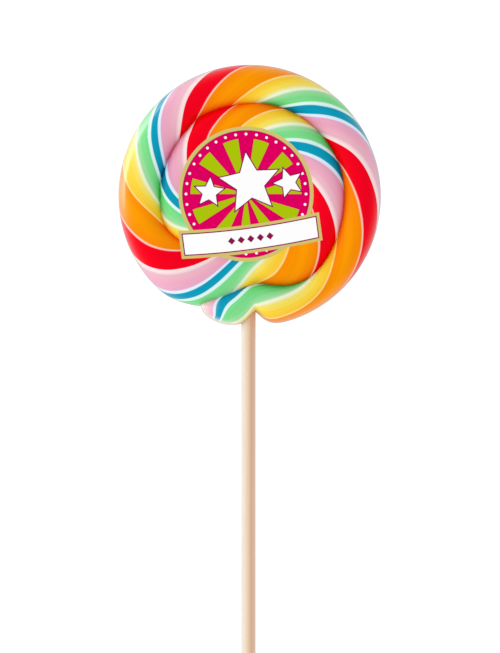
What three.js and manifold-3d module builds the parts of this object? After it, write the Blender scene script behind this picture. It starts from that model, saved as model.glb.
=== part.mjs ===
// Swirl lollipop: one rope of twisted boiled sugar wound into a flat coil on a wooden stick, with a
// round paper label on the coil. Millimetres, +Z up. The lollipop lies on its back, so the labelled
// face looks up and the stick points along -Y. The origin is the middle of the coil, on its flat back.
//
// Angles are in degrees round the coil, counter-clockwise from +X. They keep counting from one turn
// to the next, from the rope's outer end beside the stick to its inner end in the middle.
import * as THREE from 'three';
import { mergeVertices } from 'three/addons/utils/BufferGeometryUtils.js';
import Module from 'manifold-3d';

const wasm = await Module();
wasm.setup();

// ---- Rope: section and thickness -------------------------------------------------------------
const ROPE_HALF_HEIGHT = 6.5;
const FULL_HEIGHT_WIDTH = 6.4; // half-width from which the rope has its full height
const THINNING = 0.35; // how fast a narrower stretch gets thinner too
const BACK_FLAT = 0.6; // pressed off the back where the coil lay while it set
const SIDE_SQUEEZE = 0.82; // share of its half-width that a turn keeps on the side of a neighbour
const MID_HEIGHT = ROPE_HALF_HEIGHT - BACK_FLAT;
const SECTION_SIDES = 16;

// ---- Rope: outer rim -------------------------------------------------------------------------
const RIM_RADIUS = 41.06;
const RIM_SHOULDER = { rise: 0.29, at: -35, width: 41 };
const RIM_FLAT = { rise: -0.48, at: 120, width: 93 };
const STICK_NOTCH = { depth: 4.72, at: -87.25, leftWidth: 4.45, rightWidth: 4.76, sharpness: 1.47 };
const CROWN_DIP = { rise: 2.2, at: -87.25, width: 9 }; // the crown comes in less than the rim at the stick
const TAIL_TIP = { from: -99.9, length: 13.67, drop: 4.05 };
const RIM_DIVE = { from: 231.6, softness: 5, slope: 0.203 }; // the first turn comes in
const UNDER_TAIL = { from: 240, length: 40 }; // and slips in behind the tail
const TAIL_LIFT = 0.9; // height by which the tail rides over the stick and the turn behind it
const TAIL_RISE = { from: -75, length: 35 };

// ---- Rope: crease between a turn and the next one inward --------------------------------------
const CREASE_RADIUS = 29.3;
const CREASE_DRIFT = 0.004; // inward, for each degree
const CREASE_SHOULDER = { rise: 2.58, at: -61.2, width: 34.9 };
const CREASE_PINCH = { rise: -3.2, at: -84.4, width: 17.2 };
const CREASE_TAIL = { from: -83.7, length: 12, rise: 0.59, power: 2.75 };
const SMALL_STEP = { from: 122.5, length: 11, drop: 0.8 };
const TUCK = { from: 192, length: 72, drop: 9.3 }; // where each turn steps inward by its own width

// ---- Rope: stretches of the coil --------------------------------------------------------------
const TAIL_END = -114.2;
const TAIL_DONE = -74;
const FIRST_TURN_END = 246;
const PRESSING = { from: FIRST_TURN_END, length: 16 }; // over which a turn comes to press on its neighbour
const HOOK_ANGLE = 150; // direction in which the innermost turn starts to curl back to the middle
const HOOK_PIVOT = 6; // distance of the curl's pivot from the middle
const HOOK_OUTER = 12; // outer radius of the curl about its pivot
const HOOK_HALF_WIDTH = HOOK_PIVOT / SIDE_SQUEEZE;
const TAIL_STEP = 1.7;
const RIM_STEP = 6;
const INNER_STEP = 8;
const HOOK_STEP = 12;
const CORE_SIDES = 16;

// ---- Stick and label ---------------------------------------------------------------------------
const STICK_DIAMETER = 4.5;
const STICK_X = -0.2;
const STICK_TOP = 10; // its hidden end, past the middle of the coil
const STICK_FOOT = -180;
const STICK_CHAMFER = 0.3;
const STICK_SIDES = 24;
const CLEARANCE = 0.3; // between neighbouring pieces

const LABEL_RADIUS = 20.95;
const LABEL_CENTER = { x: -0.93, y: 0.08 };
const LABEL_THICKNESS = 0.25;
const LABEL_SIDES = 72;
const BANNER = { width: 44, height: 8.75, x: 0.43, y: -12.8, tilt: 7.6, sag: 1, steps: 10 };

const smooth = (t) => THREE.MathUtils.smoothstep(t, 0, 1);
const radians = THREE.MathUtils.degToRad;
const bump = (angle, { rise, at, width }) => rise * Math.exp(-(((angle - at) / width) ** 2));
const progress = (angle, { from, length }) => (angle - from) / length;

/** Radius of the coil's outline along the first turn, but for the stick's notch. */
function rimRadius(angle) {
  const intoTip = THREE.MathUtils.clamp((TAIL_TIP.from - angle) / TAIL_TIP.length, 0, 1);
  const tip = TAIL_TIP.drop * (1 - Math.sqrt(1 - intoTip ** 2));
  const past = angle - RIM_DIVE.from;
  const dive = (RIM_DIVE.slope * (past + Math.hypot(past, RIM_DIVE.softness))) / 2;
  return RIM_RADIUS + bump(angle, RIM_SHOULDER) + bump(angle, RIM_FLAT) - tip - dive;
}

/** How far the rim comes in where the rope is draped over the stick. */
function notchDepth(angle) {
  const off = angle - STICK_NOTCH.at;
  const width = off < 0 ? STICK_NOTCH.leftWidth : STICK_NOTCH.rightWidth;
  return STICK_NOTCH.depth * Math.exp(-((Math.abs(off) / width) ** STICK_NOTCH.sharpness));
}

/** How far the curled inner end has taken the crease inward, half a turn round its pivot. */
function hookDrop(angle) {
  const swing = radians(THREE.MathUtils.clamp(angle - HOOK_ANGLE - 360, 0, 180));
  const reach = HOOK_PIVOT * Math.cos(swing) + Math.sqrt(HOOK_OUTER ** 2 - (HOOK_PIVOT * Math.sin(swing)) ** 2);
  return HOOK_PIVOT + HOOK_OUTER - reach;
}

/** Radius of the crease between the turn at this angle and the one inside it. */
function creaseRadius(angle) {
  const drift = CREASE_DRIFT * Math.min(angle, FIRST_TURN_END);
  const waves = bump(angle, CREASE_SHOULDER) + bump(angle, CREASE_PINCH);
  const intoTail = Math.max(0, CREASE_TAIL.from - angle) / CREASE_TAIL.length;
  const tail = CREASE_TAIL.rise * intoTail ** CREASE_TAIL.power;
  const steps = SMALL_STEP.drop * smooth(progress(angle, SMALL_STEP)) + TUCK.drop * smooth(progress(angle, TUCK));
  return CREASE_RADIUS - drift + waves + tail - steps - hookDrop(angle);
}

/** The rope's section at this angle: its crown's radius, half-widths to both sides and heights. */
function ropeSection(angle) {
  const under = smooth(progress(angle, UNDER_TAIL));
  const plain = THREE.MathUtils.lerp(rimRadius(angle), creaseRadius(angle - 360), under);
  const outer = plain - (1 - under) * notchDepth(angle);
  const inner = Math.min(creaseRadius(angle), outer - 0.3);
  // A turn is free on the rim and pressed against its neighbour further in.
  const squeeze = 1 - (1 - SIDE_SQUEEZE) * smooth(progress(angle, PRESSING));
  const calm = plain - (1 - under) * bump(angle, CROWN_DIP);
  const middle = (SIDE_SQUEEZE * calm + squeeze * inner) / (SIDE_SQUEEZE + squeeze);
  const crown = Math.min(middle, outer - 0.1);
  const inward = (crown - inner) / SIDE_SQUEEZE;
  const halfHeight = ROPE_HALF_HEIGHT * Math.min(1, (inward / FULL_HEIGHT_WIDTH) ** THINNING);
  const midHeight = MID_HEIGHT + TAIL_LIFT * (1 - smooth(progress(angle, TAIL_RISE)));
  return { crown, inward, outward: (outer - crown) / squeeze, halfHeight, midHeight };
}

/** Section of the curled inner end, about its own pivot, where the inner side closes up. */
function hookSection() {
  return {
    crown: HOOK_PIVOT,
    inward: HOOK_PIVOT - 0.05,
    outward: HOOK_HALF_WIDTH,
    halfHeight: ROPE_HALF_HEIGHT,
    midHeight: MID_HEIGHT,
  };
}

/** Evenly spaced angles from one to another, no more than `step` apart. */
function anglesBetween(from, to, step) {
  const count = Math.ceil((to - from) / step);
  return Array.from({ length: count + 1 }, (_, i) => from + ((to - from) * i) / count);
}

/** A closed tube of elliptical rings, one at each angle about `pivot`. */
function sweepRope(angles, sectionAt, pivot = new THREE.Vector2()) {
  const positions = [];
  for (const angle of angles) {
    const { crown, inward, outward, halfHeight, midHeight } = sectionAt(angle);
    for (let side = 0; side < SECTION_SIDES; side++) {
      const turn = (2 * Math.PI * side) / SECTION_SIDES;
      const reach = Math.cos(turn) * (Math.cos(turn) > 0 ? outward : inward);
      const x = pivot.x + (crown + reach) * Math.cos(radians(angle));
      const y = pivot.y + (crown + reach) * Math.sin(radians(angle));
      positions.push(x, y, midHeight + halfHeight * Math.sin(turn));
    }
  }
  const indices = [];
  const lastRing = (angles.length - 1) * SECTION_SIDES;
  for (let ring = 0; ring < lastRing; ring += SECTION_SIDES) {
    for (let side = 0; side < SECTION_SIDES; side++) {
      const next = (side + 1) % SECTION_SIDES;
      const [a, b] = [ring + side, ring + next];
      indices.push(a, a + SECTION_SIDES, b + SECTION_SIDES, a, b + SECTION_SIDES, b);
    }
  }
  for (let side = 1; side < SECTION_SIDES - 1; side++) {
    indices.push(0, side, side + 1, lastRing, lastRing + side + 1, lastRing + side);
  }
  const geometry = new THREE.BufferGeometry();
  geometry.setAttribute('position', new THREE.Float32BufferAttribute(positions, 3));
  geometry.setIndex(indices);
  return geometry;
}

/** Manifold solid of a closed three.js geometry. */
function toSolid(source) {
  const bare = source.clone();
  bare.deleteAttribute('normal');
  bare.deleteAttribute('uv');
  const welded = mergeVertices(bare, 1e-4);
  const vertProperties = new Float32Array(welded.attributes.position.array);
  const triVerts = new Uint32Array(welded.index.array);
  return new wasm.Manifold(new wasm.Mesh({ numProp: 3, vertProperties, triVerts }));
}

/** three.js geometry of a manifold solid. */
function toGeometry(solid) {
  const { vertProperties, triVerts } = solid.getMesh();
  const geometry = new THREE.BufferGeometry();
  geometry.setAttribute('position', new THREE.BufferAttribute(new Float32Array(vertProperties), 3));
  geometry.setIndex(new THREE.BufferAttribute(new Uint32Array(triVerts), 1));
  return geometry;
}

/** The largest of a solid's shells, without the slivers left where two rings met. */
function mainShell(solid) {
  return solid.decompose().reduce((best, shell) => (shell.volume() > best.volume() ? shell : best));
}

/** Turned dowel along Y with chamfered ends. */
function dowel(radius, foot, top, chamfer) {
  const profile = [
    [0, foot],
    [radius - chamfer, foot],
    [radius, foot + chamfer],
    [radius, top - chamfer],
    [radius - chamfer, top],
    [0, top],
  ];
  return new THREE.LatheGeometry(profile.map(([x, y]) => new THREE.Vector2(x, y)), STICK_SIDES);
}

/** The coil: three turns of rope, its curled inner end, a flat back and the bore for the stick. */
function candyGeometry() {
  const firstJoin = HOOK_ANGLE;
  const secondJoin = firstJoin + 360;
  const thirdJoin = secondJoin + 360;
  const tail = [
    ...anglesBetween(TAIL_END, TAIL_DONE, TAIL_STEP),
    ...anglesBetween(TAIL_DONE, firstJoin, RIM_STEP).slice(1),
  ];
  const pivot = new THREE.Vector2(HOOK_PIVOT, 0).rotateAround(new THREE.Vector2(), radians(HOOK_ANGLE));
  const core = new THREE.SphereGeometry(1, CORE_SIDES, CORE_SIDES)
    .rotateX(Math.PI / 2)
    .scale(HOOK_HALF_WIDTH, HOOK_HALF_WIDTH, ROPE_HALF_HEIGHT)
    .translate(0, 0, MID_HEIGHT);
  const pieces = [
    sweepRope(tail, ropeSection),
    sweepRope(anglesBetween(firstJoin, secondJoin, RIM_STEP), ropeSection),
    sweepRope(anglesBetween(secondJoin, thirdJoin, INNER_STEP), ropeSection),
    sweepRope(anglesBetween(HOOK_ANGLE, HOOK_ANGLE + 180, HOOK_STEP), hookSection, pivot),
    core,
  ];
  const coil = mainShell(pieces.map(toSolid).reduce((joined, piece) => joined.add(piece)));

  const under = new THREE.BoxGeometry(3 * RIM_RADIUS, 3 * RIM_RADIUS, RIM_RADIUS);
  under.translate(0, 0, -RIM_RADIUS / 2);
  const bore = dowel(STICK_DIAMETER / 2 + CLEARANCE, 2 * -RIM_RADIUS, STICK_TOP + CLEARANCE, STICK_CHAMFER);
  bore.translate(STICK_X, 0, MID_HEIGHT);
  return toGeometry(mainShell(coil.subtract(toSolid(under)).subtract(toSolid(bore))));
}

/** Sheet of the label's thickness, from a flat outline. */
function sheet(shape, curveSegments) {
  return new THREE.ExtrudeGeometry(shape, { depth: LABEL_THICKNESS, bevelEnabled: false, curveSegments });
}

/** Banner outline: long edges that sag in the middle. */
function bannerShape() {
  const { width, height, sag, steps } = BANNER;
  const stops = Array.from({ length: steps + 1 }, (_, i) => -1 + (2 * i) / steps);
  const edge = (y) => stops.map((u) => new THREE.Vector2((u * width) / 2, y - sag * (1 - u * u)));
  return new THREE.Shape([...edge(-height / 2), ...edge(height / 2).reverse()]);
}

/** The label: a disc with a banner across its lower third. */
function labelGeometry() {
  const disc = sheet(new THREE.Shape().absarc(0, 0, LABEL_RADIUS, 0, 2 * Math.PI, false), LABEL_SIDES);
  disc.translate(LABEL_CENTER.x, LABEL_CENTER.y, 0);
  const banner = sheet(bannerShape(), BANNER.steps);
  banner.rotateZ(radians(BANNER.tilt)).translate(BANNER.x, BANNER.y, 0);
  return toGeometry(toSolid(disc).add(toSolid(banner)));
}

function part(name, geometry, finish) {
  const mesh = new THREE.Mesh(geometry, new THREE.MeshStandardMaterial(finish));
  mesh.name = name;
  return mesh;
}

const lollipop = new THREE.Group();
lollipop.name = 'swirl_lollipop';

const candy = part('candy', candyGeometry(), { color: 0xff9608, roughness: 0.3, metalness: 0 });
lollipop.add(candy);

const stick = part(
  'stick',
  dowel(STICK_DIAMETER / 2, STICK_FOOT, STICK_TOP, STICK_CHAMFER),
  { color: 0xf3d8c1, roughness: 0.75, metalness: 0 },
);
stick.position.set(STICK_X, 0, MID_HEIGHT);
lollipop.add(stick);

const label = part('label', labelGeometry(), { color: 0xe1006e, roughness: 0.5, metalness: 0 });
label.position.z = MID_HEIGHT + ROPE_HALF_HEIGHT + CLEARANCE;
lollipop.add(label);

export default lollipop;
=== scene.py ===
"""Swirl lollipop: one twisted rope of striped pulled sugar, coiled on a birch stick, with a paper label.

The lollipop lies on its back: +Z up, the stick along -Y, the origin in the middle of the coil's back. Every
object is in metres. The shapes' own sizes are in millimetres and angles round the coil in degrees, counted
from +X and on from turn to turn, from the rope's outer end beside the stick to its inner end in the middle.
"""
import logging
import math
from collections.abc import Callable
from dataclasses import dataclass, field
from enum import Enum
from functools import partial

import bpy
import numpy as np
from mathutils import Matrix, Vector


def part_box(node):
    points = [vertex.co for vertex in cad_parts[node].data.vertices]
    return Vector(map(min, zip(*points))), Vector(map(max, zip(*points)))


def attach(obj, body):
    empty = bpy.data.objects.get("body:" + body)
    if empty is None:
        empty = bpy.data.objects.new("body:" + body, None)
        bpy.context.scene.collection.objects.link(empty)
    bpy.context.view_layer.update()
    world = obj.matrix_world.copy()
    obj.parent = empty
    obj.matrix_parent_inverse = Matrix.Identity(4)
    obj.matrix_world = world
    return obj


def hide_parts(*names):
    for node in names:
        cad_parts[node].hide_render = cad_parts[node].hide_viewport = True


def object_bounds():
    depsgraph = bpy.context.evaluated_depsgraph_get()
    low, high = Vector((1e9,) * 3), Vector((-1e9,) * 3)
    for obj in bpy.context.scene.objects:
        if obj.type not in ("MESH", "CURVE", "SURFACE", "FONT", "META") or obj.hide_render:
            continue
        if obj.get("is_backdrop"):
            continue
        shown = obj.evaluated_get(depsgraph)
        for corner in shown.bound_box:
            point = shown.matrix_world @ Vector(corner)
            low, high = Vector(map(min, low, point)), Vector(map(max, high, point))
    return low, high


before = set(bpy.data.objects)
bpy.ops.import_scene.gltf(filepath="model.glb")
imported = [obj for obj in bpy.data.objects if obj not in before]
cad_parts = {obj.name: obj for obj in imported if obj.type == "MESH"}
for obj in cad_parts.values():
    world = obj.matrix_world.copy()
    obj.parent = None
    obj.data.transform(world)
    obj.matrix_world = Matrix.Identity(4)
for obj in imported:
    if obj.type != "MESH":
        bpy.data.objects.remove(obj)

LOG = logging.getLogger("lollipop")
MM = 0.001
TURN = 360
BODY = "root"

# The inputs and the output of a Mix node that mixes colours.
MIX_SHARE, MIX_UNDER, MIX_OVER, MIXED = 0, 6, 7, 2

Colour = tuple[float, float, float, float]
Point = tuple[float, float, float]
Span = tuple[float, float]
AddNode = Callable[..., bpy.types.Node]

# What feeds a shader node's input: a constant, a node's output, or a node for its first output.
Feed = object


class Part(Enum):
    """The frame's nodes, each with the material slot of the same name."""

    CANDY = "candy"
    STICK = "stick"
    LABEL = "label"


class Joining(Enum):
    """What becomes of two solids that meet."""

    WELD = "UNION"
    BORE = "DIFFERENCE"
    TRIM = "INTERSECT"


class RopeMap(Enum):
    """The candy's UV maps: turns of its strands and millimetres of rope, and how deep or pinched it is."""

    STRANDS = "strands"
    WORKED = "worked"


# ---- Small tools -------------------------------------------------------------------------------


def linear(hex_colour: str) -> Colour:
    """Turns an sRGB colour into the linear one that shaders take.

    Args:
        hex_colour: Six hex digits after a #.

    Returns:
        Red, green, blue and alpha, linear.
    """
    parts = [int(hex_colour[i : i + 2], 16) / 255 for i in (1, 3, 5)]
    red, green, blue = (c / 12.92 if c <= 0.04045 else ((c + 0.055) / 1.055) ** 2.4 for c in parts)
    return red, green, blue, 1.0


def smooth(t: np.ndarray) -> np.ndarray:
    """Eases from 0 to 1 as t does, level at both ends."""
    t = np.clip(t, 0, 1)
    return t * t * (3 - 2 * t)


def add_node(
    tree: bpy.types.NodeTree, kind: str, inputs: dict[int | str, Feed] | tuple = (), **settings: object
) -> bpy.types.Node:
    """Adds a shader node with its settings and links.

    Args:
        tree: The material's node tree.
        kind: Blender's name for the kind of node, after "ShaderNode".
        inputs: What feeds each input, by its number or name, or in order.
        settings: Properties of the node itself.

    Returns:
        The node.
    """
    node = tree.nodes.new("ShaderNode" + kind)
    for name, value in settings.items():
        setattr(node, name, value)
    feeds = inputs if isinstance(inputs, dict) else dict(enumerate(inputs))
    for socket, feed in feeds.items():
        if isinstance(feed, bpy.types.Node):
            feed = feed.outputs[0]
        if isinstance(feed, bpy.types.NodeSocket):
            tree.links.new(feed, node.inputs[socket])
        else:
            node.inputs[socket].default_value = feed
    return node


def new_material(name: str) -> tuple[bpy.types.Material, AddNode]:
    """Starts a material with no nodes yet.

    Args:
        name: The material's name.

    Returns:
        The material, and add_node for its own tree.
    """
    material = bpy.data.materials.new(name)
    material.use_nodes = True
    material.node_tree.nodes.clear()
    return material, partial(add_node, material.node_tree)


def fill_ramp(ramp: bpy.types.ColorRamp, stops: list[tuple[float, str]]) -> None:
    """Puts colours on a new colour ramp.

    Args:
        ramp: The ramp, with its two first stops.
        stops: Pairs of a share of the way along and a hex colour, in order.
    """
    while len(ramp.elements) < len(stops):
        ramp.elements.new(1.0)
    for element, (share, colour) in zip(ramp.elements, stops):
        element.position = share
        element.color = linear(colour)


def select_only(piece: bpy.types.Object) -> None:
    """Makes one object the active one and the only one selected.

    Args:
        piece: The object.
    """
    bpy.ops.object.select_all(action="DESELECT")
    piece.select_set(True)
    bpy.context.view_layer.objects.active = piece


def added(name: str) -> bpy.types.Object:
    """Takes up the primitive that was just added, with its place in its mesh.

    Args:
        name: The piece's new name.

    Returns:
        The piece, selected.
    """
    piece = bpy.context.object
    piece.name = piece.data.name = name
    select_only(piece)
    bpy.ops.object.transform_apply(location=True, rotation=True, scale=True)
    return piece


def combine(piece: bpy.types.Object, tool: bpy.types.Object, how: Joining) -> None:
    """Welds, bores or trims a solid with another one, which is then removed.

    Args:
        piece: The solid that stays.
        tool: The solid that acts on it.
        how: What becomes of the two.
    """
    modifier = piece.modifiers.new(how.name, "BOOLEAN")
    modifier.operation = how.value
    modifier.solver = "MANIFOLD"
    modifier.object = tool
    select_only(piece)
    bpy.ops.object.modifier_apply(modifier=modifier.name)
    bpy.data.objects.remove(tool)


def thicken(sheet: bpy.types.Object, thickness: float) -> None:
    """Makes a flat mesh a solid, half to each side.

    Args:
        sheet: The flat mesh.
        thickness: The solid's thickness, in millimetres.
    """
    select_only(sheet)
    modifier = sheet.modifiers.new("thickness", "SOLIDIFY")
    modifier.thickness = thickness * MM
    modifier.offset = 0
    bpy.ops.object.modifier_apply(modifier=modifier.name)


def largest_shell(piece: bpy.types.Object) -> bpy.types.Object:
    """Drops the specks that a boolean leaves where two solids only touch.

    Args:
        piece: The piece, which may hold specks.

    Returns:
        The piece without them, under its name.
    """
    name = piece.name
    select_only(piece)
    bpy.ops.mesh.separate(type="LOOSE")
    *specks, shell = sorted(bpy.context.selected_objects, key=lambda part: len(part.data.vertices))
    for speck in specks:
        bpy.data.objects.remove(speck)
    shell.name = name
    return shell


def points_of(mesh: bpy.types.Mesh) -> np.ndarray:
    """Reads a mesh's vertices.

    Args:
        mesh: The mesh.

    Returns:
        Rows of x, y and z.
    """
    flat = np.empty(3 * len(mesh.vertices))
    mesh.vertices.foreach_get("co", flat)
    return flat.reshape(-1, 3)


def move_points(mesh: bpy.types.Mesh, points: np.ndarray) -> None:
    """Puts a mesh's vertices at new places."""
    mesh.vertices.foreach_set("co", points.astype(np.float32).ravel())
    mesh.update()


def finish_piece(
    piece: bpy.types.Object, part: Part, material: bpy.types.Material, smooth_angle: float
) -> bpy.types.Object:
    """Gives a piece its smooth shading and its material, and puts it in place of the frame's node.

    Args:
        piece: The piece, in its final shape.
        part: The node that it stands for.
        material: What it is made of.
        smooth_angle: Degrees between faces, past which an edge stays sharp.

    Returns:
        The finished piece.
    """
    select_only(piece)
    bpy.ops.object.shade_smooth_by_angle(angle=math.radians(smooth_angle))
    piece.data.materials.clear()
    piece.data.materials.append(material)
    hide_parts(part.value)
    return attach(piece, BODY)


# ---- Shape of the coil -------------------------------------------------------------------------


@dataclass(frozen=True)
class Swell:
    """A rounded bulge of an outline, or a dip where the rise is negative, round one angle and so wide."""

    rise: float
    at: float
    width: float

    def lift(self, angle: np.ndarray) -> np.ndarray:
        """How far the outline is lifted at these angles."""
        return self.rise * np.exp(-(((angle - self.at) / self.width) ** 2))


@dataclass(frozen=True)
class Step:
    """A smooth step inward of an outline, from one angle on and over so many degrees."""

    start: float
    length: float
    drop: float

    def fall(self, angle: np.ndarray) -> np.ndarray:
        """How far the outline has come in at these angles."""
        return self.drop * smooth((angle - self.start) / self.length)


@dataclass(frozen=True)
class Section:
    """The rope's oval section at each of many places.

    The crown's radius in the coil, the widths outward and inward from it, half the height, the height of
    the middle, and how far, from 0 to 1, another turn lies beside the outer side.
    """

    crown: np.ndarray
    outward: np.ndarray
    inward: np.ndarray
    half_height: np.ndarray
    middle: np.ndarray
    beside: np.ndarray


@dataclass(frozen=True)
class CoilShape:
    """How the rope lies in the coil: its outline, its creases, its ends and its section."""

    # The rope's section, and how it gives way to the turns beside it.
    half_height: float = 6.5
    back_flat: float = 0.6
    full_height_width: float = 6.4
    thinning: float = 0.35
    least_width: float = 0.05
    least_outward: float = 0.02
    side_squeeze: float = 0.82
    cleft_depth: float = 0.16
    cleft_width: float = 0.45
    # deep_width: how far from a cleft the painted crease shade and the satin's fading reach.
    deep_width: float = 1.0

    # The outer end, which was pinched off.
    pinch_width: float = 0.9
    pinch_end: Step = Step(-100, 14, 1)
    pinch_tip: Step = Step(-113, 9, 0.5)

    # The rim, with the stick's notch, the outer end, and the place where the rope dives under it.
    rim_radius: float = 41.06
    rim_swells: tuple[Swell, ...] = (Swell(0.29, -35, 41), Swell(-0.48, 120, 93))
    notch_depth: float = 4.72
    notch_at: float = -87.25
    notch_widths: Span = (4.45, 4.76)
    notch_sharpness: float = 1.47
    crown_dip: Swell = Swell(2.2, -87.25, 9)
    tip_start: float = -99.9
    tip_length: float = 13.67
    tip_drop: float = 4.05
    dive_start: float = 231.6
    dive_softness: float = 5
    dive_slope: float = 0.203
    under_tail: Step = Step(240, 40, 1)
    tail_lift: float = 0.9
    tail_rise: Step = Step(-75, 35, 1)

    # The crease between a turn and the one inside it.
    crease_radius: float = 29.3
    crease_drift: float = 0.004
    crease_swells: tuple[Swell, ...] = (
        Swell(2.58, -61.2, 34.9),
        Swell(-3.2, -84.4, 17.2),
        Swell(0.25, 15, 22),
        Swell(-0.6, 100, 20),
        Swell(-0.35, 155, 15),
        Swell(0.5, 202, 10),
    )
    crease_tail_start: float = -83.7
    crease_tail_length: float = 12
    crease_tail_rise: float = 0.59
    crease_tail_power: float = 2.75
    crease_steps: tuple[Step, ...] = (Step(122.5, 11, 0.8), Step(192, 72, 9.3))

    # Where the stretches of rope begin and end, and the inner end's hook.
    tail_end: float = -114.2
    first_turn_end: float = 246
    pressing: Step = Step(246, 16, 0.18)
    hook_angle: float = 150
    hook_pivot: float = 6
    hook_outer: float = 12

    @property
    def mid_height(self) -> float:
        """Height of the rope's middle above the surface on which the coil lies."""
        return self.half_height - self.back_flat

    @property
    def crown_height(self) -> float:
        """Height of the crowns above that surface."""
        return self.mid_height + self.half_height

    @property
    def coil_end(self) -> float:
        """The angle at which the inner end starts to curl back to the middle."""
        return self.hook_angle + 2 * TURN

    @property
    def hook_half_width(self) -> float:
        """Half the rope's width where it curls back to the middle."""
        return self.hook_pivot / self.side_squeeze

    def rim(self, angle: np.ndarray) -> np.ndarray:
        """Radius of the coil's outline along the first turn, but for the stick's notch.

        Args:
            angle: Angles round the coil.

        Returns:
            The radius at each of them.
        """
        swells = sum(swell.lift(angle) for swell in self.rim_swells)
        into_tip = np.clip((self.tip_start - angle) / self.tip_length, 0, 1)
        tip = self.tip_drop * (1 - np.sqrt(1 - into_tip**2))
        past = angle - self.dive_start
        dive = self.dive_slope * (past + np.hypot(past, self.dive_softness)) / 2
        return self.rim_radius + swells - tip - dive

    def notch(self, angle: np.ndarray) -> np.ndarray:
        """How far the rim comes in where the rope is draped over the stick.

        Args:
            angle: Angles round the coil.

        Returns:
            The depth at each of them.
        """
        off = angle - self.notch_at
        width = np.where(off < 0, *self.notch_widths)
        return self.notch_depth * np.exp(-((np.abs(off) / width) ** self.notch_sharpness))

    def hook_drop(self, angle: np.ndarray) -> np.ndarray:
        """How far the curled inner end has taken the crease inward.

        Args:
            angle: Angles round the coil.

        Returns:
            The distance at each of them.
        """
        swing = np.radians(np.clip(angle - self.hook_angle - TURN, 0, TURN / 2))
        side = self.hook_pivot * np.sin(swing)
        reach = self.hook_pivot * np.cos(swing) + np.sqrt(self.hook_outer**2 - side**2)
        return self.hook_pivot + self.hook_outer - reach

    def crease(self, angle: np.ndarray) -> np.ndarray:
        """Radius of the crease between a turn and the one inside it.

        Args:
            angle: Angles round the coil.

        Returns:
            The radius at each of them.
        """
        drift = self.crease_drift * np.minimum(angle, self.first_turn_end)
        swells = sum(swell.lift(angle) for swell in self.crease_swells)
        into_tail = np.clip((self.crease_tail_start - angle) / self.crease_tail_length, 0, None)
        tail = self.crease_tail_rise * into_tail**self.crease_tail_power
        steps = sum(step.fall(angle) for step in self.crease_steps)
        return self.crease_radius - drift + swells + tail - steps - self.hook_drop(angle)

    def section(self, angle: np.ndarray) -> Section:
        """The rope's section at places along the coil.

        Args:
            angle: Angles round the coil.

        Returns:
            The section at each of them.
        """
        under = self.under_tail.fall(angle)
        plain = (1 - under) * self.rim(angle) + under * self.crease(angle - TURN)
        outer = plain - (1 - under) * self.notch(angle)
        inner = np.minimum(self.crease(angle), outer - self.least_width)
        squeeze = 1 - self.pressing.fall(angle)
        calm = plain - (1 - under) * self.crown_dip.lift(angle)
        crown = (self.side_squeeze * calm + squeeze * inner) / (self.side_squeeze + squeeze)
        crown = np.minimum(crown, outer - self.least_outward)
        inward = (crown - inner) / self.side_squeeze
        fullness = np.minimum(1, (inward / self.full_height_width) ** self.thinning)
        middle = self.mid_height + self.tail_lift * (1 - self.tail_rise.fall(angle))
        beside = self.pressing.fall(angle) / self.pressing.drop
        outward = (outer - crown) / squeeze
        return Section(crown, outward, inward, self.half_height * fullness, middle, beside)

    def nearness(
        self, sideways: np.ndarray, half_width: np.ndarray, beside: np.ndarray, width: float
    ) -> np.ndarray:
        """How near a place is to the cleft where two turns press into each other.

        Args:
            sideways: How far over on the section, from 0 at its crown to 1 at its side.
            half_width: The section's width on that side.
            beside: 1 where another turn lies on that side, 0 where none does.
            width: Millimetres over which the nearness falls off.

        Returns:
            1 in the cleft, down to 0 far from it or where there is none.
        """
        away = np.maximum(self.side_squeeze - sideways, 0) * half_width
        return beside * np.exp(-away / width)

    def pinched(self, angle: np.ndarray, outward: np.ndarray, half_width: np.ndarray) -> np.ndarray:
        """How far the rope's outer end was pinched thin, which is all round its edge.

        Args:
            angle: Angles round the coil.
            outward: How far out on the section, from -1 at its inner side to 1 at its outer side.
            half_width: The section's width on that side.

        Returns:
            1 on the very edge of the end, down to 0 along the rope.
        """
        edge = np.exp(-(((1 - outward) * half_width / self.pinch_width) ** 2))
        tip = self.pinch_tip.drop - self.pinch_tip.fall(angle)
        return np.maximum(edge * (1 - self.pinch_end.fall(angle)), tip)

    def hook_section(self, angle: np.ndarray) -> Section:
        """The section of the curled inner end, about its own pivot, where the inner side closes up.

        Args:
            angle: Angles about the hook's pivot.

        Returns:
            The same section at each of them.
        """
        closing = self.hook_pivot - self.least_width
        sizes = self.hook_pivot, self.hook_half_width, closing, self.half_height, self.mid_height, 1.0
        return Section(*(np.full_like(angle, size) for size in sizes))


@dataclass(frozen=True)
class Stray:
    """A place where the strands stray from an even twist.

    It lies so many millimetres along the rope and at a share of the way round, moves the strands by a part
    of a turn, and fades out over a length in millimetres and a spread in turns.
    """

    at: float
    share: float
    turns: float
    length: float
    spread: float = 0.14

    def shift(self, run: np.ndarray, share: np.ndarray) -> np.ndarray:
        """How far round the strands have strayed.

        Args:
            run: Millimetres along the rope.
            share: Share of the way round the strands.

        Returns:
            The turns at each place.
        """
        across = ((share - self.share + 0.5) % 1 - 0.5) / self.spread
        return self.turns * np.exp(-(((run - self.at) / self.length) ** 2)) * self.pull(across)

    def pull(self, across: np.ndarray) -> np.ndarray:
        """How much of the stray is left, so many spreads away from its middle."""
        return np.exp(-(across**2))


@dataclass(frozen=True)
class Thinning(Stray):
    """A stretch where one strand was drawn out thin: both its edges stray toward its middle."""

    spread: float = 0.05

    def pull(self, across: np.ndarray) -> np.ndarray:
        """All of the stray at the strand's two edges, and none in its middle."""
        return -across * np.exp((1 - across**2) / 2)


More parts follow.
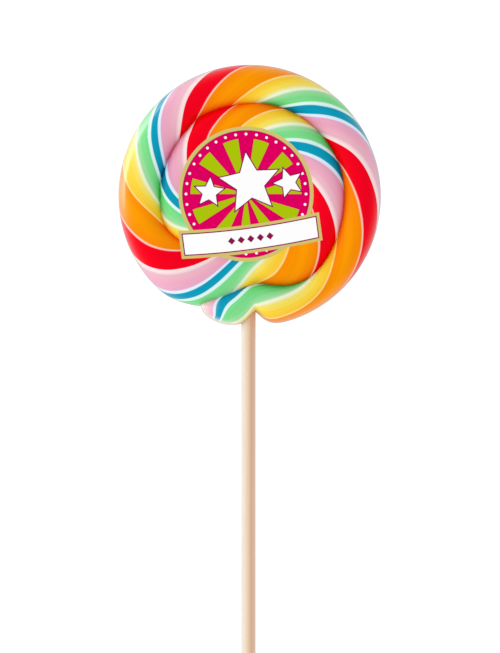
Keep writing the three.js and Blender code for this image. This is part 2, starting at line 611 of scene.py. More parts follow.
@dataclass(frozen=True)
class Twist:
    """How fast the stripes wind round the rope, as the length of rope that one turn of them takes."""

    pitch: float = 60
    tail_pitch: float = 115
    tip_pitch: float = 34
    tail_until: float = 15
    tail_blend: float = 25
    tip_from: float = -95
    tip_blend: float = 12
    start_angle: float = 20
    start_turn: float = 0.74
    catch_up: Swell = Swell(0.085, 290, 42)
    tail_lean: Step = Step(-82, -8, 0.05)
    tip_lean: Step = Step(-97, -10, 0.17)
    lean_bow: float = 0.2

    # Each was set one by one and looked at.
    strays: tuple[Stray, ...] = (
        Thinning(155, 0.595, 0.015, 16),
        Thinning(204, 0.600, 0.012, 10),
        Stray(0, 0.72, -0.07, 8, 0.10),
        Stray(12, 0.39, -0.055, 6, 0.09),
        Stray(8, 0.56, -0.03, 5, 0.09),
        Stray(21, 0.56, 0.035, 6, 0.07),
        Stray(36, 0.24, -0.04, 9),
        Stray(93, 0.82, 0.03, 8, 0.10),
        Stray(165, 0.38, 0.04, 8, 0.10),
        Stray(186, 0.15, 0.04, 10, 0.18),
        Stray(221, 0.60, 0.03, 6, 0.10),
        Stray(262, 0.86, 0.04, 12, 0.18),
        Stray(312, 0.00, 0.04, 9, 0.12),
        Stray(334, 0.60, -0.04, 12, 0.12),
    )

    # Degrees between the places where length and turns are added up.
    step: float = 1.0

    def rate(self, angle: np.ndarray) -> np.ndarray:
        """Turns of the stripes for each millimetre of rope.

        Args:
            angle: Angles round the coil.

        Returns:
            The turns at each of them.
        """
        main = smooth((angle - self.tail_until) / self.tail_blend)
        tip = smooth((self.tip_from - angle) / self.tip_blend)
        steady = (1 - main) / self.tail_pitch + main / self.pitch
        return steady * (1 - tip) + tip / self.tip_pitch

    def lean(self, angle: np.ndarray, outward: np.ndarray) -> np.ndarray:
        """Turns by which the tail's strands lean over toward the rim.

        Args:
            angle: Angles round the coil.
            outward: How far out on the section, from -1 at its inner side to 1 at its outer side.

        Returns:
            The turns at each place.
        """
        most = self.tail_lean.fall(angle) + self.tip_lean.fall(angle)
        return most * outward * (1 - self.lean_bow + self.lean_bow * outward)

    def strayed(self, run: np.ndarray, share: np.ndarray) -> np.ndarray:
        """How far round the strands stray from an even twist, all strays added up."""
        return sum(stray.shift(run, share) for stray in self.strays)


class RopeRun:
    """Length and twist of the rope along the coil."""

    def __init__(self, shape: CoilShape, twist: Twist) -> None:
        """Adds up the rope's length and its stripes' turns from its outer end.

        Args:
            shape: How the rope lies in the coil.
            twist: How fast its stripes wind.
        """
        self.angles = np.arange(shape.tail_end, shape.coil_end + twist.step, twist.step)
        crown = shape.section(self.angles).crown
        slope = np.gradient(crown, np.radians(self.angles))
        pace = np.hypot(crown, slope) * math.radians(twist.step)
        self.lengths = self._running_sum(pace)
        turns = self._running_sum(pace * twist.rate(self.angles))
        offset = twist.start_turn - np.interp(twist.start_angle, self.angles, turns)
        self.turns = turns + offset + twist.catch_up.lift(self.angles)

    @staticmethod
    def _running_sum(values: np.ndarray) -> np.ndarray:
        """The sum up to each value, by trapezoids from nought."""
        return np.concatenate([[0], np.cumsum((values[1:] + values[:-1]) / 2)])

    def length_at(self, angle: np.ndarray) -> np.ndarray:
        """Length of rope up to these angles."""
        return np.interp(angle, self.angles, self.lengths)

    def turns_at(self, angle: np.ndarray) -> np.ndarray:
        """Turns of the stripes up to these angles."""
        return np.interp(angle, self.angles, self.turns)


# ---- Finishes ----------------------------------------------------------------------------------


@dataclass(frozen=True)
class Strand:
    """A coloured strand of the rope, and the white sugar line into which the strand before it fades."""

    start: float
    line: str
    line_half: float
    fade: float
    edge: float
    shades: tuple[str, ...]


@dataclass(frozen=True)
class PulledSugar:
    """Boiled sugar, pulled until air makes it opaque, then rolled: full colours under a smooth satin skin.

    Coloured strands lie side by side round the rope, each with a line of white sugar at its edge.
    """

    strands: tuple[Strand, ...] = (
        Strand(0.0000, "#FFCDBA", 0.0030, 0.008, 0.008, ("#FB8804", "#FD9B00", "#FB8D00")),
        Strand(0.2420, "#FEDF90", 0.0020, 0.010, 0.010, ("#FBC736", "#FAD640", "#F4E470")),
        Strand(0.3910, "#EEF4D8", 0.0045, 0.022, 0.018, ("#A2DFA2", "#80DD8E", "#76DC88")),
        Strand(0.5400, "#DDF5F0", 0.0130, 0.008, 0.004, ("#0A9BB9", "#0A9CBC")),
        Strand(0.6485, "#DCECF8", 0.0120, 0.004, 0.006, ("#E5A6C4", "#ECAAC0", "#ECB8C6")),
        Strand(0.8230, "#FAE4E4", 0.0090, 0.030, 0.004, ("#F4001E", "#F4001E")),
    )
    waver: float = 0.012
    waver_length: float = 14.0
    waver_detail: float = 2.0
    waver_noise: Span = (0.25, 0.75)
    streak_width: float = 0.55
    streak_length: float = 30.0
    streak_depth: float = 0.02
    streak_detail: float = 3.0
    streak_noise: Span = (0.3, 0.7)
    streak_values: Span = (0.95, 1.035)
    relief: float = 0.5
    rope_radius: float = 6.5
    pinch: str = "#FAEFE4"
    # crease_shade_power: the gamma at the bottom of a cleft, for the painted shade there.
    crease_shade_power: float = 1.75
    roughness: float = 0.43
    ior: float = 1.5
    specular: float = 0.02
    satin: str = "#B8B8B8"
    satin_roughness: float = 0.36
    satin_most: float = 1.25
    satin_blend: float = 0.5
    satin_rise: float = 3.0
    satin_until: float = 0.3

    def ramp_stops(self) -> list[tuple[float, str]]:
        """Colours round the rope: each strand's shades, spread evenly between the lines at its edges.

        Returns:
            Pairs of a share of the way round and a hex colour, in order.
        """
        stops = []
        for strand, following in zip(self.strands, self.strands[1:] + self.strands[:1]):
            line_end = strand.start + strand.line_half
            next_line = (following.start or 1.0) - following.line_half
            edges = np.linspace(line_end + strand.edge, next_line - following.fade, len(strand.shades))
            stops += [(line_end, strand.line), *zip(edges, strand.shades), (next_line, following.line)]
        return stops

    def material(self) -> bpy.types.Material:
        """Pulled sugar, which reads the candy's own UV maps.

        Returns:
            The material.
        """
        material, add = new_material("pulled_sugar")
        place = add("SeparateXYZ", (add("UVMap", uv_map=RopeMap.STRANDS.value),))
        turn, run = place.outputs["X"], place.outputs["Y"]
        radians = add("Math", (turn, math.tau), operation="MULTIPLY")
        side = add("Math", (radians,), operation="COSINE")
        top = add("Math", (radians,), operation="SINE")
        around = add("CombineXYZ", (side, top, run))

        # The strands were pulled by hand, so their edges waver a little.
        slow = add("VectorMath", (around, (1, 1, 1 / self.waver_length)), operation="MULTIPLY")
        wander = add("TexNoise", {"Vector": slow, "Scale": 1, "Detail": self.waver_detail})
        shift = add("MapRange", (wander, *self.waver_noise, -self.waver / 2, self.waver / 2))
        moved = add("Math", (turn, shift), operation="ADD")
        strands = add("ValToRGB", (add("Math", (moved,), operation="FRACT"),))
        fill_ramp(strands.color_ramp, self.ramp_stops())

        # Pulling leaves fine streaks along the strands, drawn a little coarser than they are.
        across = self.rope_radius / self.streak_width
        scale = (across, across, 1 / self.streak_length)
        fine = add("VectorMath", (around, scale), operation="MULTIPLY")
        streaks = add("TexNoise", {"Vector": fine, "Scale": 1, "Detail": self.streak_detail})
        shade = add("MapRange", (streaks, *self.streak_noise, *self.streak_values))
        streaked = add("HueSaturation", {"Value": shade, "Color": strands})

        # Where the rope's end was pinched off, only the white sugar between the strands is left.
        worked = add("SeparateXYZ", (add("UVMap", uv_map=RopeMap.WORKED.value),))
        deep, pinched = worked.outputs["X"], worked.outputs["Y"]
        white = {MIX_SHARE: pinched, MIX_UNDER: streaked, MIX_OVER: linear(self.pinch)}
        whitened = add("Mix", white, data_type="RGBA").outputs[MIXED]

        # Painted shade: near a cleft the colours are darkened and made fuller by a gamma above 1, where the
        # shade between turns falls.
        power = add("MapRange", (deep, 0.0, 1.0, 1.0, self.crease_shade_power))
        colour = add("Gamma", {"Color": whitened, "Gamma": power})
        depth = self.streak_depth * MM
        relief = add("Bump", {"Height": streaks, "Strength": self.relief, "Distance": depth})
        sugar = {
            "Base Color": colour,
            "Normal": relief,
            "Roughness": self.roughness,
            "IOR": self.ior,
            "Specular IOR Level": self.specular,
        }

        # At a glancing angle the satin skin mirrors the pale room and lets less of the colour through, but
        # in a cleft it has only more sugar to mirror.
        facing = add("LayerWeight", {"Blend": self.satin_blend}).outputs["Facing"]
        rise = add("Math", (facing, self.satin_rise), operation="POWER")
        in_open = add("MapRange", (deep, 0.0, self.satin_until, self.satin_most, 0.0))
        mirrored = add("Math", (rise, in_open), operation="MULTIPLY")
        skin = add("BsdfAnisotropic", {"Color": linear(self.satin), "Roughness": self.satin_roughness})
        both = add("MixShader", (mirrored, add("BsdfPrincipled", sugar), skin))
        add("OutputMaterial", (both,))
        return material


@dataclass(frozen=True)
class BirchDowel:
    """Birch, turned and sanded but bare: pale and matt, with fine darker grain along the stick, and painted
    shade down one side.
    """

    # Painted shade: the wood's tone across the stick, by millimetres of X, darker toward +X, away from the
    # key light.
    tone_and_side_shade: tuple[tuple[float, str], ...] = (
        (-1.7, "#E4DACD"),
        (-0.9, "#EAD5BF"),
        (0.0, "#E8C5A6"),
        (0.65, "#DAB394"),
        (1.7, "#DABDA9"),
    )
    grain_contrast: float = 0.04
    grain_detail: float = 4.0
    grain_noise: Span = (0.35, 0.7)
    grain_width: float = 0.5
    grain_length: float = 35.0
    grain_depth: float = 0.05
    relief: float = 0.4
    roughness: float = 0.62
    specular: float = 0.0

    def material(self) -> bpy.types.Material:
        """Birch with its grain along Y, in Object coordinates.

        Returns:
            The material.
        """
        material, add = new_material("birch_dowel")
        # The grain, drawn a little coarser than it is.
        place = add("TexCoord").outputs["Object"]
        across, along = 1 / (self.grain_width * MM), 1 / (self.grain_length * MM)
        stretched = add("VectorMath", (place, (across, along, across)), operation="MULTIPLY")
        grain = add("TexNoise", {"Vector": stretched, "Scale": 1, "Detail": self.grain_detail})

        # The wood's own pale tone, darkened across the stick toward +X: painted shade, as the key light at
        # the left leaves it.
        first, last = self.tone_and_side_shade[0][0] * MM, self.tone_and_side_shade[-1][0] * MM
        sideways = add("SeparateXYZ", (place,)).outputs["X"]
        side_shaded_wood = add("ValToRGB", (add("MapRange", (sideways, first, last)),))
        stops = [((x * MM - first) / (last - first), colour) for x, colour in self.tone_and_side_shade]
        fill_ramp(side_shaded_wood.color_ramp, stops)
        values = 1 + self.grain_contrast / 2, 1 - self.grain_contrast
        shade = add("MapRange", (grain, *self.grain_noise, *values))
        depth = self.grain_depth * MM
        birch = {
            "Base Color": add("HueSaturation", {"Value": shade, "Color": side_shaded_wood}),
            "Normal": add("Bump", {"Height": grain, "Strength": self.relief, "Distance": depth}),
            "Roughness": self.roughness,
            "Specular IOR Level": self.specular,
        }
        add("OutputMaterial", (add("BsdfPrincipled", birch),))
        return material


@dataclass(frozen=True)
class Star:
    """A five-pointed star printed on the label."""

    x: float
    y: float
    radius: float
    tilt: float


class Press:
    """Prints flat inks over one another on the label's paper, in Object coordinates."""

    def __init__(self, ground: str) -> None:
        """Starts with one colour all over.

        Args:
            ground: Its hex colour.
        """
        self.material, self.add = new_material("printed_paper")
        self.colour: Feed = linear(ground)
        self.place = self.add("TexCoord").outputs["Object"]

    def about(self, x: float, y: float, tilt: float = 0.0) -> tuple[Feed, Feed]:
        """Measures the label from a point on it.

        Args:
            x: The point's X.
            y: Its Y.
            tilt: Degrees by which the measures are turned about it.

        Returns:
            Millimetres across and up from the point.
        """
        axes = {
            "Vector": self.place,
            "Location": (x * MM, y * MM, 0),
            "Rotation": (0, 0, math.radians(tilt)),
            "Scale": (MM, MM, MM),
        }
        measured = self.add("SeparateXYZ", (self.add("Mapping", axes, vector_type="TEXTURE"),))
        return measured.outputs["X"], measured.outputs["Y"]

    def reach(self, across: Feed, up: Feed) -> Feed:
        """How far a place lies from the point about which it is measured."""
        measured = self.add("CombineXYZ", (across, up))
        return self.add("VectorMath", (measured,), operation="LENGTH").outputs["Value"]

    def lay(self, ink: str, *limits: tuple[Feed, float]) -> None:
        """Lays an ink over the others, wherever each measure is under its limit.

        Args:
            ink: Its hex colour.
            limits: Pairs of a measure and its limit.
        """
        covered = 1.0
        for measure, limit in limits:
            under = self.add("Math", (measure, limit), operation="LESS_THAN")
            covered = self.add("Math", (under, covered), operation="MULTIPLY")
        layers = {MIX_SHARE: covered, MIX_UNDER: self.colour, MIX_OVER: linear(ink)}
        self.colour = self.add("Mix", layers, data_type="RGBA").outputs[MIXED]


@dataclass(frozen=True)
class PrintedPaper:
    """Coated paper, printed in flat inks, semi-matt: a sunburst with stars, and a white banner."""

    border: str = "#D4C273"
    magenta: str = "#DE005F"
    lime: str = "#ABC40B"
    white: str = "#FEFEFE"
    outline: str = "#8C1450"
    outline_width: float = 0.36
    rays: int = 11
    ray_share: float = 0.5
    ray_radius: float = 17.2
    dots: int = 36
    dot_ring: float = 18.6
    dot_radius: float = 0.42
    stars: tuple[Star, ...] = (
        Star(0.3, 3.4, 9.6, 8),
        Star(-12.3, 0.6, 4.6, -4),
        Star(12.2, 3.6, 4.6, 20),
    )
    star_points: int = 5
    star_waist: float = 0.46
    gems: int = 5
    gem_spacing: float = 3.0
    gem_half: float = 1.15
    roughness: float = 0.5
    specular: float = 0.0

    def material(self, label: "Label") -> bpy.types.Material:
        """The label's paper and print.

        Args:
            label: The label's outline.

        Returns:
            The material.
        """
        press = Press(self.border)
        self._print_sunburst(press, label)
        for star in self.stars:
            self._print_star(press, star)
        self._print_banner(press, label)
        paper = {
            "Base Color": press.colour,
            "Roughness": self.roughness,
            "Specular IOR Level": self.specular,
        }
        press.add("OutputMaterial", (press.add("BsdfPrincipled", paper),))
        return press.material

    def _print_sunburst(self, press: Press, label: "Label") -> None:
        """Prints the disc inside the border, with its rays and its ring of dots.

        Args:
            press: The press.
            label: The label's outline.
        """
        add = press.add
        across, up = press.about(label.x, label.y)
        distance = press.reach(across, up)
        angle = add("Math", (up, across), operation="ARCTAN2")
        inside = label.radius - label.border
        press.lay(self.outline, (distance, inside))
        press.lay(self.magenta, (distance, inside - self.outline_width / 2))

        beams = add("Math", (angle, self.rays / math.tau), operation="MULTIPLY")
        beam = add("Math", (beams,), operation="FRACT")
        press.lay(self.lime, (beam, self.ray_share), (distance, self.ray_radius))

        off = add("Math", (angle, math.pi / self.dots), operation="PINGPONG")
        along = add("Math", (off, self.dot_ring), operation="MULTIPLY")
        outward = add("Math", (distance, self.dot_ring), operation="SUBTRACT")
        press.lay(self.white, (press.reach(along, outward), self.dot_radius))

    def _print_star(self, press: Press, star: Star) -> None:
        """Prints a star with a thin outline.

        Args:
            press: The press.
            star: Its place and size.
        """
        add = press.add
        across, up = press.about(star.x, star.y, star.tilt)
        half_point = math.pi / self.star_points
        turn = add("Math", (across, up), operation="ARCTAN2")
        fold = add("Math", (turn, half_point), operation="PINGPONG")

        # The edge from a point to the next waist is a line, at one bearing and distance from the middle.
        waist = star.radius * self.star_waist
        rise, back = waist * math.sin(half_point), star.radius - waist * math.cos(half_point)
        bearing = math.atan2(back, rise)
        edge = star.radius * math.cos(bearing)
        swing = add("Math", (fold, bearing), operation="SUBTRACT")
        share = add("Math", (swing,), operation="COSINE")
        beyond = add("Math", (press.reach(across, up), share), operation="MULTIPLY")
        press.lay(self.outline, (beyond, edge + self.outline_width))
        press.lay(self.white, (beyond, edge))

    def _print_banner(self, press: Press, label: "Label") -> None:
        """Prints the banner, whose long edges sag, and a row of small diamonds along its middle.

        Args:
            press: The press.
            label: The label's outline.
        """
        add = press.add
        across, up = press.about(label.banner_x, label.banner_y, label.banner_tilt)
        half_width, half_height = label.banner_width / 2, label.banner_height / 2
        bend = -label.banner_sag / half_width**2
        squared = add("Math", (across, across), operation="MULTIPLY")
        sag = add("Math", (squared, bend, label.banner_sag), operation="MULTIPLY_ADD")
        level = add("Math", (up, sag), operation="ADD")
        far_across = add("Math", (across,), operation="ABSOLUTE")
        far_up = add("Math", (level,), operation="ABSOLUTE")
        line_inset = label.banner_border - self.outline_width
        insets = {self.border: 0, self.outline: line_inset, self.white: label.banner_border}
        for ink, inset in insets.items():
            press.lay(ink, (far_across, half_width - inset), (far_up, half_height - inset))

        beside = add("Math", (across, self.gem_spacing / 2), operation="PINGPONG")
        gem = add("Math", (beside, far_up), operation="ADD")
        row = self.gems * self.gem_spacing / 2
        press.lay(self.outline, (gem, self.gem_half), (far_across, row))


@dataclass(frozen=True)
class LitTable:
    """A light table of opal acrylic: most of its white is its own glow, so no shadow shows on it."""

    colour: str = "#959595"
    roughness: float = 0.9
    light: str = "#FFFFFF"
    glow: float = 0.86

    def material(self) -> bpy.types.Material:
        """Matt white that glows, seen from above only.

        Returns:
            The material.
        """
        material, add = new_material("light_table")
        acrylic = {
            "Base Color": linear(self.colour),
            "Roughness": self.roughness,
            "Emission Color": linear(self.light),
            "Emission Strength": self.glow,
        }
        underneath = add("NewGeometry").outputs["Backfacing"]
        shown = add("MixShader", (underneath, add("BsdfPrincipled", acrylic), add("BsdfTransparent")))
        add("OutputMaterial", (shown,))
        return material


# ---- The lollipop ------------------------------------------------------------------------------


@dataclass(frozen=True)
class Stretch:
    """A stretch of rope: its section, length and turns at stations along it, about a pivot."""

    angle: np.ndarray
    section: Section
    length: np.ndarray
    turns: np.ndarray
    pivot: tuple[float, float] = (0.0, 0.0)


@dataclass
class Candy:
    """The coil: three turns of rope and its curled inner end, pressed flat at the back."""

    shape: CoilShape = field(default_factory=CoilShape)
    twist: Twist = field(default_factory=Twist)
    sugar: PulledSugar = field(default_factory=PulledSugar)
    sides: int = 96
    tail_step: float = 0.7
    tail_done: float = -70
    step: float = 2.0
    hook_step: float = 4.0
    crown_turn: float = 0.25
    crown_share: float = 0.592
    stick_gap: float = 0.03
    merge_gap: float = 0.001
    smooth_angle: float = 32.0

    def build(self) -> bpy.types.Object:
        """Makes the coil in place of the frame's candy.

        Returns:
            The finished piece.
        """
        run = RopeRun(self.shape, self.twist)
        tail = np.arange(self.shape.tail_end, self.tail_done, self.tail_step)
        outer = np.append(tail, self._stations(self.tail_done, self.shape.hook_angle))
        coil = self._tube("candy_coil", self._stretch(run, outer))
        for start in (self.shape.hook_angle, self.shape.hook_angle + TURN):
            inner = self._stations(start, start + TURN)
            combine(coil, self._tube("turn", self._stretch(run, inner)), Joining.WELD)
        combine(coil, self._tube("hook", self._hook(run)), Joining.WELD)
        combine(coil, self._core(run), Joining.WELD)
        self._press_back(coil)
        self._bore(coil)
        return finish_piece(largest_shell(coil), Part.CANDY, self.sugar.material(), self.smooth_angle)

    def _stations(self, start: float, end: float) -> np.ndarray:
        """Evenly spaced angles from one to another."""
        return np.linspace(start, end, round((end - start) / self.step) + 1)

    def _stretch(self, run: RopeRun, angle: np.ndarray) -> Stretch:
        """The rope at these angles round the coil."""
        return Stretch(angle, self.shape.section(angle), run.length_at(angle), run.turns_at(angle))

    def _hook(self, run: RopeRun) -> Stretch:
        """The half turn that the inner end makes about its own pivot.

        Args:
            run: Length and twist of the rope.

        Returns:
            The stretch.
        """
        shape = self.shape
        swing = np.linspace(0, TURN / 2, round(TURN / 2 / self.hook_step) + 1)
        on = shape.hook_pivot * np.radians(swing)
        heading = math.radians(shape.hook_angle)
        return Stretch(
            shape.hook_angle + swing,
            shape.hook_section(swing),
            run.length_at(shape.coil_end) + on,
            run.turns_at(shape.coil_end) + on / self.twist.pitch,
            (shape.hook_pivot * math.cos(heading), shape.hook_pivot * math.sin(heading)),
        )

    def _tube(self, name: str, stretch: Stretch) -> bpy.types.Object:
        """Rolls a flat grid up into a closed tube along a stretch of rope.

        Args:
            name: The tube's name.
            stretch: Its section at stations along it.

        Returns:
            The tube.
        """
        count = len(stretch.angle)
        bpy.ops.mesh.primitive_grid_add(x_subdivisions=self.sides, y_subdivisions=count - 1, size=2)
        tube = added(name)
        grid = (points_of(tube.data) + 1) / 2
        shares = np.linspace(0, 1, count)

        def at(values: np.ndarray) -> np.ndarray:
            """Values at the stations, for each vertex of the grid."""
            return np.interp(grid[:, 1], shares, values)

        shape, section = self.shape, stretch.section
        round_section = math.tau * grid[:, 0]
        outward = np.cos(round_section)
        outer_side = outward > 0
        half_width = np.where(outer_side, at(section.outward), at(section.inward))
        beside = np.where(outer_side, at(section.beside), 1)
        nearness = partial(shape.nearness, np.abs(outward), half_width, beside)

        radius = at(section.crown) + outward * half_width
        angle = at(stretch.angle)
        x = stretch.pivot[0] + radius * np.cos(np.radians(angle))
        y = stretch.pivot[1] + radius * np.sin(np.radians(angle))
        kept = 1 - shape.cleft_depth * nearness(shape.cleft_width)
        z = at(section.middle) + at(section.half_height) * kept * np.sin(round_section)
        move_points(tube.data, np.column_stack([x, y, z]) * MM)

        lean = self.twist.lean(angle, outward)
        self._write_strands(tube.data, grid[:, 0] - at(stretch.turns) + lean, at(stretch.length))
        worked = nearness(shape.deep_width), shape.pinched(angle, outward, half_width)
        self._write_map(tube.data, RopeMap.WORKED, np.column_stack(worked))
        self._close()
        return tube

    def _close(self) -> None:
        """Seals the rolled grid that is selected: joins its two long edges and fills its ends."""
        bpy.ops.object.mode_set(mode="EDIT")
        bpy.ops.mesh.select_all(action="SELECT")
        bpy.ops.mesh.remove_doubles(threshold=self.merge_gap * MM)
        bpy.ops.mesh.select_all(action="SELECT")
        bpy.ops.mesh.fill_holes(sides=0)
        bpy.ops.mesh.select_all(action="SELECT")
        bpy.ops.mesh.normals_make_consistent(inside=False)
        bpy.ops.object.mode_set(mode="OBJECT")

    def _write_strands(self, mesh: bpy.types.Mesh, turn: np.ndarray, length: np.ndarray) -> None:
        """Writes the map of the strands: their share of the way round, and millimetres along the rope.

        Args:
            mesh: The mesh.
            turn: Share of a turn round the section, less the strands' own turns, for each vertex.
            length: Millimetres of rope, for each vertex.
        """
        even = turn - self.crown_turn + self.crown_share
        share = even - self.twist.strayed(length, even)
        mesh.uv_layers.active.name = RopeMap.STRANDS.value
        self._write_map(mesh, RopeMap.STRANDS, np.column_stack([share, length]))

    @staticmethod
    def _write_map(mesh: bpy.types.Mesh, rope_map: RopeMap, places: np.ndarray) -> None:
        """Writes a UV map.

        Args:
            mesh: The mesh.
            rope_map: Which map, new or not.
            places: Rows of U and V, one for each vertex.
        """
        layer = mesh.uv_layers.get(rope_map.value) or mesh.uv_layers.new(name=rope_map.value)
        corners = np.empty(len(mesh.loops), int)
        mesh.loops.foreach_get("vertex_index", corners)
        layer.data.foreach_set("uv", places[corners].ravel())

    def _core(self, run: RopeRun) -> bpy.types.Object:
        """The rope's rounded inner end, in the middle of the coil.

        Args:
            run: Length and twist of the rope.

        Returns:
            The dome, with its strands running on from the hook.
        """
        shape = self.shape
        bpy.ops.mesh.primitive_uv_sphere_add(segments=self.sides, ring_count=self.sides // 2, radius=1)
        core = added("core")
        ball = points_of(core.data)
        halves = shape.hook_half_width, shape.hook_half_width, shape.half_height
        move_points(core.data, (ball * halves + (0, 0, shape.mid_height)) * MM)

        away = math.radians(shape.hook_angle + TURN / 2)
        lateral = ball[:, 0] * math.cos(away) + ball[:, 1] * math.sin(away)
        forward = ball[:, 1] * math.cos(away) - ball[:, 0] * math.sin(away)
        on = shape.hook_pivot * math.pi + shape.hook_half_width * forward
        turns = run.turns_at(shape.coil_end) + on / self.twist.pitch
        share = np.arctan2(ball[:, 2], lateral) / math.tau
        self._write_strands(core.data, share - turns, run.length_at(shape.coil_end) + on)
        self._write_map(core.data, RopeMap.WORKED, np.zeros((len(ball), 2)))
        return core

    @staticmethod
    def _press_back(coil: bpy.types.Object) -> None:
        """Presses the back flat, as on the table where the coil set.

        Args:
            coil: The coil.
        """
        points = points_of(coil.data)
        points[:, 2] = np.maximum(points[:, 2], 0)
        move_points(coil.data, points)

    def _bore(self, coil: bpy.types.Object) -> None:
        """Makes the hole that the stick fills.

        Args:
            coil: The coil.
        """
        low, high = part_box(Part.STICK.value)
        gap = self.stick_gap * MM
        length = 2 * self.shape.rim_radius * MM
        middle = Vector(((low.x + high.x) / 2, high.y + gap - length / 2, (low.z + high.z) / 2))
        bpy.ops.mesh.primitive_cylinder_add(
            vertices=Stick.sides,
            radius=(high.x - low.x) / 2 + gap,
            depth=length,
            location=middle,
            rotation=(math.pi / 2, 0, 0),
        )
        combine(coil, added("bore"), Joining.BORE)


@dataclass
class Stick:
    """The birch stick, with softened ends."""

    sides: int = 64
    end_round: float = 0.4
    round_segments: int = 4
    round_angle: float = 60.0
    smooth_angle: float = 40.0
    birch: BirchDowel = field(default_factory=BirchDowel)

    def build(self) -> bpy.types.Object:
        """Makes the stick in place of the frame's.

        Returns:
            The finished piece.
        """
        low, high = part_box(Part.STICK.value)
        bpy.ops.mesh.primitive_cylinder_add(
            vertices=self.sides,
            radius=(high.x - low.x) / 2,
            depth=high.y - low.y,
            location=(low + high) / 2,
            rotation=(math.pi / 2, 0, 0),
        )
        stick = added("birch_stick")
        rounding = stick.modifiers.new("end_round", "BEVEL")
        rounding.width = self.end_round * MM
        rounding.segments = self.round_segments
        rounding.limit_method = "ANGLE"
        rounding.angle_limit = math.radians(self.round_angle)
        bpy.ops.object.modifier_apply(modifier=rounding.name)
        return finish_piece(stick, Part.STICK, self.birch.material(), self.smooth_angle)


@dataclass
class Label:
    """The paper label: a disc with a banner across its lower third, lying on the crowns of the coil."""

    radius: float = 20.95
    x: float = -0.93
    y: float = 0.08
    border: float = 1.17
    disc_sides: int = 144
    banner_width: float = 44.0
    banner_height: float = 8.75
    banner_x: float = 0.43
    banner_y: float = -12.8
    banner_tilt: float = 7.6
    banner_sag: float = 1.0
    banner_border: float = 1.25
    banner_cells: int = 32
    thickness: float = 0.16
    lift: float = 0.06
    wave: float = 0.05
    waves: int = 3
    wave_start: float = 0.8
    grid_step: float = 0.6
    uncut_size: float = 1.1
    die_height: float = 4.0
    banner_die_height: float = 3.6
    smooth_angle: float = 30.0
    paper: PrintedPaper = field(default_factory=PrintedPaper)

    def build(self) -> bpy.types.Object:
        """Makes the label in place of the frame's.

        Returns:
            The finished piece.
        """
        low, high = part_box(Part.LABEL.value)
        middle = (low + high) / 2
        cells = round((high.x - low.x) / (self.grid_step * MM))
        size = self.uncut_size * (high.x - low.x)
        bpy.ops.mesh.primitive_grid_add(
            x_subdivisions=cells, y_subdivisions=cells, size=size, location=middle
        )
        label = added("paper_label")
        thicken(label, self.thickness)
        combine(label, self._die(middle.z), Joining.TRIM)
        self._settle(label)

        # It is stuck down, and a shadow in the grooves under its edge would draw a dark ring round it.
        label.visible_shadow = label.visible_diffuse = False
        return finish_piece(label, Part.LABEL, self.paper.material(self), self.smooth_angle)

    def _die(self, height: float) -> bpy.types.Object:
        """The cutting die: a disc and a banner whose long edges sag.

        Args:
            height: Height of the frame's label, in metres.

        Returns:
            The die, as a solid much thicker than the paper.
        """
        place = self.x * MM, self.y * MM, height
        bpy.ops.mesh.primitive_cylinder_add(
            vertices=self.disc_sides, radius=self.radius * MM, depth=self.die_height * MM, location=place
        )
        die = added("die")
        bpy.ops.mesh.primitive_grid_add(x_subdivisions=self.banner_cells, y_subdivisions=1, size=1)
        banner = added("banner")
        flat = points_of(banner.data)
        across = 2 * flat[:, 0]
        x = across * self.banner_width / 2
        y = flat[:, 1] * self.banner_height - self.banner_sag * (1 - across**2)
        tilt = math.radians(self.banner_tilt)
        turned_x = x * math.cos(tilt) - y * math.sin(tilt) + self.banner_x
        turned_y = x * math.sin(tilt) + y * math.cos(tilt) + self.banner_y
        level = np.full_like(x, height / MM)
        move_points(banner.data, np.column_stack([turned_x, turned_y, level]) * MM)
        thicken(banner, self.banner_die_height)
        combine(die, banner, Joining.WELD)
        return die

    def _settle(self, label: bpy.types.Object) -> None:
        """Lays the paper on the crowns, with the faint waves of paper stuck over a coil.

        Args:
            label: The flat sheet.
        """
        points = points_of(label.data) / MM
        x, y = points[:, 0] - self.x, points[:, 1] - self.y
        outward = np.hypot(x, y) / self.radius
        ripple = 1 + np.sin(self.waves * np.arctan2(y, x) + self.wave_start)
        lowest = CoilShape().crown_height + self.lift + self.thickness / 2
        points[:, 2] += lowest - points[:, 2].mean() + self.wave * outward**2 * ripple
        move_points(label.data, points * MM)


# ---- The studio --------------------------------------------------------------------------------


@dataclass(frozen=True)
class SoftBox:
    """A soft light that looks at the coil, or one that is only mirrored in the sugar's satin."""

    name: str
    place: Point
    width: float
    height: float
    power: float
    mirrored_only: bool = False

    def build(self, target: Vector) -> None:
        """Adds the light.

        Args:
            target: The point that it looks at.
        """
        light = bpy.data.lights.new(self.name, "AREA")
        light.shape = "RECTANGLE"
        light.size = self.width
        light.size_y = self.height
        light.energy = self.power
        lamp = bpy.data.objects.new(self.name, light)
        bpy.context.scene.collection.objects.link(lamp)
        lamp.location = self.place
        lamp.rotation_euler = (target - Vector(self.place)).to_track_quat("-Z", "Y").to_euler()
        lamp.visible_camera = False
        lamp.visible_diffuse = not self.mirrored_only


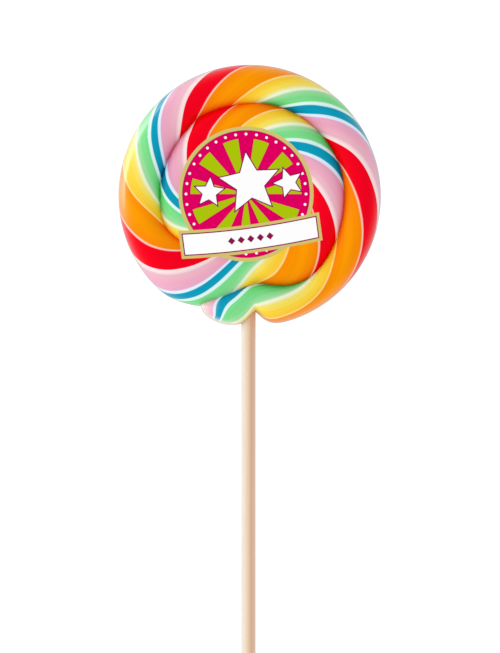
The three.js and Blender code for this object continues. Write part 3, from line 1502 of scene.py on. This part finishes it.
@dataclass
class Studio:
    """A light table in a white room, with a camera that looks straight down on it.

    A soft key light stands at the left and a weaker fill below. A low strip along the table at the left is
    only mirrored, as a pale haze on the sugar's left side. The lights and the table's size are in
    metres, the table's drop and the camera's view in millimetres.
    """

    table: LitTable = field(default_factory=LitTable)
    table_size: float = 6.0
    table_drop: float = 0.3
    room: str = "#FFFFFF"
    lights: tuple[SoftBox, ...] = (
        SoftBox("key", (-0.86, 0.1, 0.4), 0.55, 0.55, 3.1),
        SoftBox("fill", (0.35, -0.82, 0.36), 0.6, 0.5, 1.25),
        SoftBox("strip", (-0.38, 0.15, 0.007), 0.34, 0.014, 3.4, True),
    )
    sky: float = 0.82
    view_x: float = 0.31
    view_y: float = -41.0
    view_height: float = 203.6
    camera_distance: float = 1200
    sensor: float = 36.0

    def build(self) -> None:
        """Sets up the table, the lights and the camera."""
        low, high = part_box(Part.CANDY.value)
        coil = (low + high) / 2
        self._table()
        for light in self.lights:
            light.build(coil)
        world = bpy.data.worlds.new("white_room")
        world.use_nodes = True
        backdrop = world.node_tree.nodes["Background"]
        backdrop.inputs["Color"].default_value = linear(self.room)
        backdrop.inputs["Strength"].default_value = self.sky
        bpy.context.scene.world = world
        bpy.context.scene.view_settings.view_transform = "Standard"
        self._camera()

    def _table(self) -> None:
        """Adds the light table under the lollipop."""
        bpy.ops.mesh.primitive_plane_add(size=self.table_size, location=(0, 0, -self.table_drop * MM))
        table = added("light_table")
        table.data.materials.append(self.table.material())
        table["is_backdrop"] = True

    def _camera(self) -> None:
        """Adds the camera, which sees the view's height at the level of the rope's middle."""
        camera = bpy.data.cameras.new("camera")
        camera.sensor_width = self.sensor
        camera.lens = self.sensor * self.camera_distance / self.view_height
        viewer = bpy.data.objects.new("camera", camera)
        bpy.context.scene.collection.objects.link(viewer)
        height = self.camera_distance + CoilShape().mid_height
        viewer.location = (self.view_x * MM, self.view_y * MM, height * MM)
        bpy.context.scene.camera = viewer


def corners() -> list[list[float]]:
    """Lowest and highest corner of what shows of the object, as plain lists."""
    return [list(corner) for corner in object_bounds()]


def main() -> None:
    """Builds the lollipop and the studio round it."""
    logging.basicConfig(level=logging.INFO, format="%(name)s: %(message)s")
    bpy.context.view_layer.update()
    for maker in (Candy(), Stick(), Label()):
        piece = maker.build()
        LOG.info("%s: %d faces", piece.name, len(piece.data.polygons))
    Studio().build()
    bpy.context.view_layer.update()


if __name__ == "__main__":
    main()
